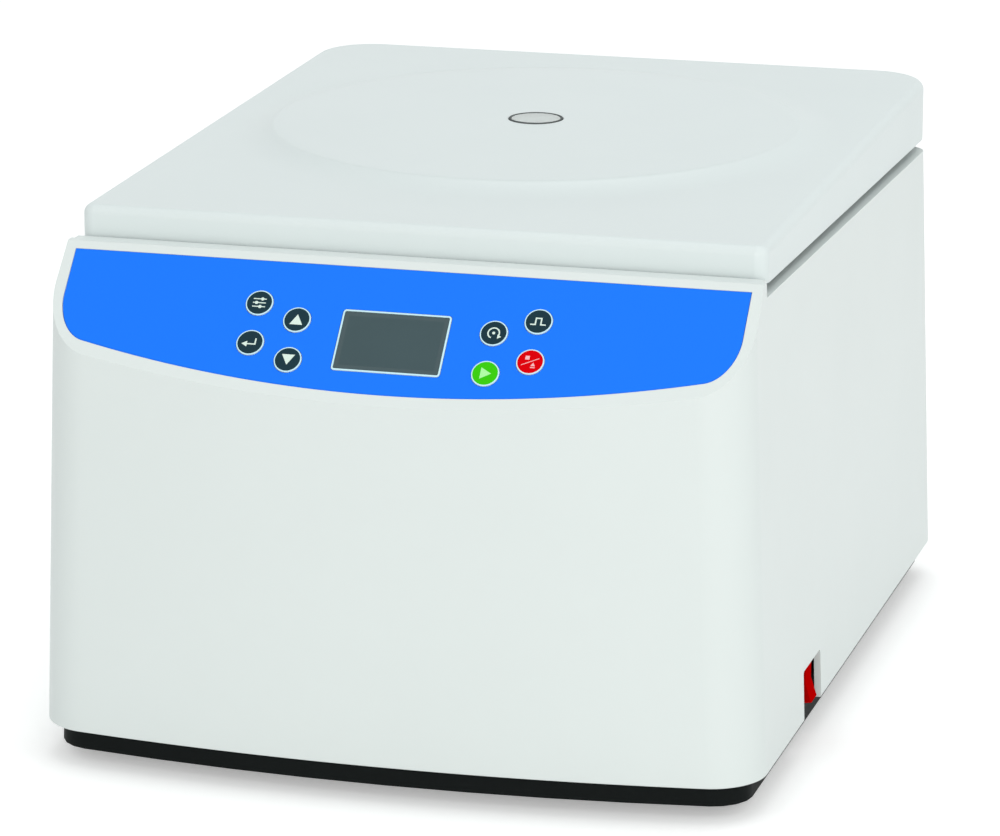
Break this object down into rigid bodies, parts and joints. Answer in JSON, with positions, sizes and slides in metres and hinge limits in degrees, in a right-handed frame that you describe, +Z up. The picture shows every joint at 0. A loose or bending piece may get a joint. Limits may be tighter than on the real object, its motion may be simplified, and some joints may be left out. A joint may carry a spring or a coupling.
{
  "type": "benchtop centrifuge",
  "caption": "Benchtop centrifuge with a domed hinged lid, inclined control panel with display and keys, round chamber, fixed-angle rotor and side power rocker.",
  "frame": {"origin": "on the table under the middle of the machine's bounding box", "axes": "+X to the right of someone facing the control panel, +Y from the control panel to the back, +Z up"},
  "size_m": [0.38, 0.505, 0.2923],
  "materials": {
    "painted_shell": "satin moulded shell, cool white",
    "lid_plastic": "satin moulded lid, cool white",
    "sheet_paint": "fine textured paint",
    "black_plastic": "fine matt grain",
    "black_rubber": "matt",
    "grey_rubber": "matt",
    "overlay_blue": "satin printed film",
    "pale_frame": "satin",
    "display_grey": "polished window over a grey display",
    "key_teal": "satin",
    "key_green": "satin",
    "key_red": "satin",
    "rocker_red": "polished",
    "board_green": "lacquered",
    "stainless": "spun and polished",
    "anodised": "satin anodised",
    "zinc_steel": "zinc plated",
    "clear_glass": "clear"
  },
  "bodies": {
    "housing": {"outer_casing": "painted_shell", "top_deck": "painted_shell", "base_tray": "black_plastic", "rear_panel": "sheet_paint", "rubber_foot_1": "black_rubber", "rubber_foot_2": "black_rubber", "rubber_foot_3": "black_rubber", "rubber_foot_4": "black_rubber", "control_overlay": "overlay_blue", "display_frame": "pale_frame", "display_window": "display_grey", "display_module": "black_plastic", "control_board": "board_green", "chamber_bowl": "stainless", "chamber_seal": "grey_rubber", "shaft_seal": "grey_rubber", "motor_plate": "zinc_steel", "motor_body": "anodised", "rubber_mount_1": "black_rubber", "rubber_mount_2": "black_rubber", "rubber_mount_3": "black_rubber", "hinge_leaf_fixed_left": "zinc_steel", "hinge_leaf_fixed_right": "zinc_steel", "hinge_pin_left": "zinc_steel", "hinge_pin_right": "zinc_steel", "lock_body": "black_plastic", "switch_body": "black_plastic", "mains_inlet": "black_plastic", "fuse_holder": "black_plastic", "fan_frame": "black_plastic", "drive_board": "board_green"},
    "lid": {"lid_shell": "lid_plastic", "lid_liner": "lid_plastic", "sight_glass": "clear_glass", "hinge_leaf_lid_left": "zinc_steel", "hinge_leaf_lid_right": "zinc_steel", "lid_striker": "zinc_steel"},
    "rotor_drive": {"drive_shaft": "zinc_steel", "rotor": "anodised", "rotor_nut": "black_plastic"},
    "set_key": {"key_set": "key_teal"},
    "enter_key": {"key_enter": "key_teal"},
    "up_key": {"key_up": "key_teal"},
    "down_key": {"key_down": "key_teal"},
    "units_key": {"key_units": "key_teal"},
    "pulse_key": {"key_pulse": "key_teal"},
    "start_key": {"key_start": "key_green"},
    "stop_key": {"key_stop": "key_red"},
    "rocker": {"power_rocker": "rocker_red"},
    "hook": {"lock_hook": "zinc_steel"},
    "fan": {"fan_wheel": "black_plastic"}
  },
  "joints": [
    {"name": "lid_hinge", "type": "hinge", "parent": "housing", "child": "lid", "pos_m": [0, 0.237, 0.256], "axis": [-1, 0, 0], "range_deg": [0, 75]},
    {"name": "rotor_spin", "type": "hinge", "parent": "housing", "child": "rotor_drive", "pos_m": [0, 0.0455, 0.15], "axis": [0, 0, 1], "continuous": true},
    {"name": "set_press", "type": "slide", "parent": "housing", "child": "set_key", "axis": [0, 0.723, -0.6909], "range_m": [0, 0.0006], "stiffness_N_per_m": 400},
    {"name": "enter_press", "type": "slide", "parent": "housing", "child": "enter_key", "axis": [0, 0.723, -0.6909], "range_m": [0, 0.0006], "stiffness_N_per_m": 400},
    {"name": "up_press", "type": "slide", "parent": "housing", "child": "up_key", "axis": [0, 0.723, -0.6909], "range_m": [0, 0.0006], "stiffness_N_per_m": 400},
    {"name": "down_press", "type": "slide", "parent": "housing", "child": "down_key", "axis": [0, 0.723, -0.6909], "range_m": [0, 0.0006], "stiffness_N_per_m": 400},
    {"name": "units_press", "type": "slide", "parent": "housing", "child": "units_key", "axis": [0, 0.723, -0.6909], "range_m": [0, 0.0006], "stiffness_N_per_m": 400},
    {"name": "pulse_press", "type": "slide", "parent": "housing", "child": "pulse_key", "axis": [0, 0.723, -0.6909], "range_m": [0, 0.0006], "stiffness_N_per_m": 400},
    {"name": "start_press", "type": "slide", "parent": "housing", "child": "start_key", "axis": [0, 0.723, -0.6909], "range_m": [0, 0.0006], "stiffness_N_per_m": 400},
    {"name": "stop_press", "type": "slide", "parent": "housing", "child": "stop_key", "axis": [0, 0.723, -0.6909], "range_m": [0, 0.0006], "stiffness_N_per_m": 400},
    {"name": "rocker_tilt", "type": "hinge", "parent": "housing", "child": "rocker", "pos_m": [0.17891, -0.0995, 0.03225], "axis": [0, 1, 0], "range_deg": [0, 18]},
    {"name": "hook_turn", "type": "hinge", "parent": "housing", "child": "hook", "pos_m": [0, -0.1479, 0.216], "axis": [1, 0, 0], "range_deg": [0, 25]},
    {"name": "fan_spin", "type": "hinge", "parent": "housing", "child": "fan", "pos_m": [-0.08, 0.21, 0.091], "axis": [0, 1, 0], "continuous": true}
  ]
}
